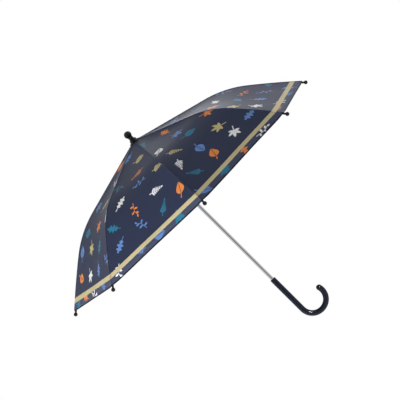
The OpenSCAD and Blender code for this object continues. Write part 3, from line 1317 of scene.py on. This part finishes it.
@dataclass
class Frame:
    """The pieces that keep their constructed shape and get their finish here."""

    finishes: Finishes

    def dress(self) -> None:
        """Gives every remaining node its material."""
        f = self.finishes
        wires = ("notch_wire", "runner_wire", "top_catch", "bottom_catch", "catch_pins")
        pieces = {
            f.shaft: ("shaft",),
            f.handle: ("handle",),
            f.black: ("ferrule", "canopy_cap", "rib_tip"),
            f.nylon: ("top_notch", "runner"),
            f.bars: (*wires, "rib_joint", "rib", "stretcher"),
        }
        finish = {piece: material for material, names in pieces.items() for piece in names}
        for name, node in frame["nodes"].items():
            family = name.rsplit("_", 1)[0]
            material = finish.get(name) or finish.get(family)
            if material is None:
                continue
            node.data.materials.clear()
            node.data.materials.append(material)
            LOG.info("%s: %s", name, material.name)


@dataclass(frozen=True)
class Lamp:
    """A soft box that faces the umbrella.

    One that isn't mirrored gives light with no image in gloss. One that isn't diffused gives
    only that image. One that names nodes lights nothing else.
    """

    name: str
    place: Triple
    size: float
    power: float
    mirrored: bool = True
    diffused: bool = True
    lights: tuple[str, ...] = ()


@dataclass(frozen=True)
class Patch:
    """A part of the surroundings that metal and gloss show brighter or darker.

    The spread is the cosines at which the change starts and ends, and the levels are the one
    away from the patch and the one on it.
    """

    way: Triple
    spread: Span
    levels: Span


def seen(add: AddNode) -> bpy.types.NodeSocket:
    """Finds the rays that show the surroundings themselves.

    Args:
        add: add_node for the tree.

    Returns:
        The socket of a factor that is 1 on these rays.
    """
    path = add("ShaderNodeLightPath").outputs
    shown = path["Is Camera Ray"]
    for ray in ("Is Glossy Ray", "Is Transmission Ray"):
        both = add("ShaderNodeMath", {"operation": "MAXIMUM"}, {0: shown, 1: path[ray]})
        shown = both.outputs["Value"]
    return shown


@dataclass(frozen=True)
class WhitePaper(Finish):
    """Matt white paper that shows as the white surroundings do and keeps a faint shadow."""

    name: str = "white_paper"
    grey: float = 0.9
    # With the light on the paper itself, this comes out white.
    glow: float = 1.13
    glow_share: float = 0.85

    def shader(self, add: AddNode) -> bpy.types.Node:
        """Mixes the paper with its glow.

        Args:
            add: add_node for the material's tree.

        Returns:
            The shader.
        """
        paper = add("ShaderNodeBsdfDiffuse", {"Color": (self.grey, self.grey, self.grey, 1.0)})
        glow = add("ShaderNodeEmission", {"Strength": self.glow})
        share = {"operation": "MULTIPLY", 1: self.glow_share}
        part = add("ShaderNodeMath", share, {0: seen(add)})
        return add("ShaderNodeMixShader", links={0: part, 1: paper, 2: glow})


@dataclass
class Studio:
    """Camera, soft boxes, floor and white surroundings, in metres."""

    camera_place: Triple = (0.04059, -3.76583, 0.57874)
    camera_right: Triple = (0.70605, -0.05024, -0.70638)
    camera_up: Triple = (0.70812, 0.06129, 0.70343)
    focal_px: float = 1741.8
    sensor_mm: float = 36.0
    clip_end: float = 100.0
    aim: Triple = (0.0, 0.0, 0.35)
    floor_z: float = -0.6
    floor_side: float = 6.0
    ambient: float = 0.26
    patches: tuple[Patch, ...] = (
        # A white backdrop behind the umbrella, in a dimmer room.
        Patch((0.1, 0.95, 0.28), (0.8, 0.98), (0.8, 1.0)),
        # The room's dimmest corner, behind the umbrella on its left.
        Patch((-0.47, 0.78, 0.42), (0.6, 0.95), (1.0, 0.5)),
        # A dark, soft card before the umbrella, which draws the line down the polished shaft.
        Patch((0.05, -1.0, -0.05), (0.65, 0.985), (1.0, 0.26)),
    )
    lamps: tuple[Lamp, ...] = (
        Lamp("left_box", (-1.75, -1.95, 0.12), 1.3, 83.0, mirrored=False),
        Lamp("front_box", (-0.3, -2.8, 0.9), 1.2, 2.0),
        Lamp("back_box", (0.5, 2.8, 1.2), 1.3, 12.0),
        Lamp("right_box", (2.0, 1.2, 1.5), 1.3, 38.0, mirrored=False),
        # The small highlight in the handle's hook.
        Lamp("gloss_box", (1.75, -2.3, 0.75), 0.45, 110.0, diffused=False, lights=("handle",)),
    )

    def build(self) -> None:
        """Makes the whole studio."""
        self.camera()
        self.surroundings()
        self.floor()
        for lamp in self.lamps:
            self.light(lamp)
        bpy.context.scene.view_settings.view_transform = "Standard"

    def camera(self) -> None:
        """Places the camera at the photograph's viewing angle."""
        data = bpy.data.cameras.new("camera")
        data.sensor_width = self.sensor_mm
        data.lens = data.sensor_width * self.focal_px / PHOTO_SIDE
        data.clip_end = self.clip_end
        camera = bpy.data.objects.new("camera", data)
        right, up = Vector(self.camera_right).normalized(), Vector(self.camera_up).normalized()
        back = right.cross(up).normalized()
        up = back.cross(right)
        turn = Matrix((right, up, back)).transposed()
        camera.matrix_world = Matrix.Translation(Vector(self.camera_place)) @ turn.to_4x4()
        bpy.context.scene.collection.objects.link(camera)
        bpy.context.scene.camera = camera

    def towards(self, add: AddNode, patch: Patch) -> bpy.types.Node:
        """A level that changes towards one patch of the surroundings.

        Args:
            add: add_node for the world's tree.
            patch: The patch.

        Returns:
            The level's node.
        """
        cosine = add(
            "ShaderNodeVectorMath",
            {"operation": "DOT_PRODUCT", 1: tuple(Vector(patch.way).normalized())},
            {0: add("ShaderNodeTexCoord").outputs["Generated"]},
        )
        return add(
            "ShaderNodeMapRange",
            {
                "interpolation_type": "SMOOTHSTEP",
                "From Min": patch.spread[0],
                "From Max": patch.spread[1],
                "To Min": patch.levels[0],
                "To Max": patch.levels[1],
            },
            {"Value": cosine.outputs["Value"]},
        )

    def surroundings(self) -> None:
        """White where the surroundings show, with the patches in reflections only."""
        world = bpy.data.worlds.new("white_studio")
        bpy.context.scene.world = world
        world.use_nodes = True
        world.node_tree.nodes.clear()
        add = partial(add_node, world.node_tree)
        multiply = {"operation": "MULTIPLY"}
        levels = {"To Min": self.ambient, "To Max": 1.0}
        level = add("ShaderNodeMapRange", levels, {"Value": seen(add)})
        mirrored, *others = (self.towards(add, patch) for patch in self.patches)
        for other in others:
            mirrored = add("ShaderNodeMath", multiply, {0: mirrored, 1: other})
        glossy = add("ShaderNodeLightPath").outputs["Is Glossy Ray"]
        shades = {"Value": glossy, "To Max": mirrored}
        shade = add("ShaderNodeMapRange", {"To Min": 1.0}, shades)
        strength = add("ShaderNodeMath", multiply, {0: level, 1: shade})
        white = {"Color": (1.0, 1.0, 1.0, 1.0)}
        shader = add("ShaderNodeBackground", white, {"Strength": strength})
        add("ShaderNodeOutputWorld", links={"Surface": shader})

    def floor(self) -> None:
        """Lays the paper floor."""
        half = self.floor_side / 2
        around = ((-half, -half), (half, -half), (half, half), (-half, half))
        corners = np.array([(x, y, self.floor_z) for x, y in around])
        floor = mesh_object("studio_floor", corners, [[0, 1, 2, 3]])
        floor.data.materials.append(WhitePaper().material())

    def light(self, lamp: Lamp) -> None:
        """Hangs one soft box that faces the umbrella.

        Args:
            lamp: The soft box.
        """
        data = bpy.data.lights.new(lamp.name, "AREA")
        data.size = lamp.size
        data.energy = lamp.power
        hung = bpy.data.objects.new(lamp.name, data)
        hung.location = lamp.place
        way = Vector(self.aim) - Vector(lamp.place)
        hung.rotation_mode = "QUATERNION"
        hung.rotation_quaternion = way.to_track_quat("-Z", "Y")
        hung.visible_glossy = lamp.mirrored
        hung.visible_diffuse = lamp.diffused
        if lamp.lights:
            lit = bpy.data.collections.new(f"{lamp.name}_lights")
            for name in lamp.lights:
                lit.objects.link(frame["nodes"][name])
            hung.light_linking.receiver_collection = lit
        bpy.context.scene.collection.objects.link(hung)


def main() -> None:
    """Builds the umbrella's looks and its studio."""
    logging.basicConfig(level=logging.INFO, format="%(name)s: %(message)s")
    finishes = Finishes()
    Studio().build()
    Frame(finishes).dress()
    Canopy(finishes, CanopyShape.from_frame()).build()


if __name__ == "__main__":
    main()
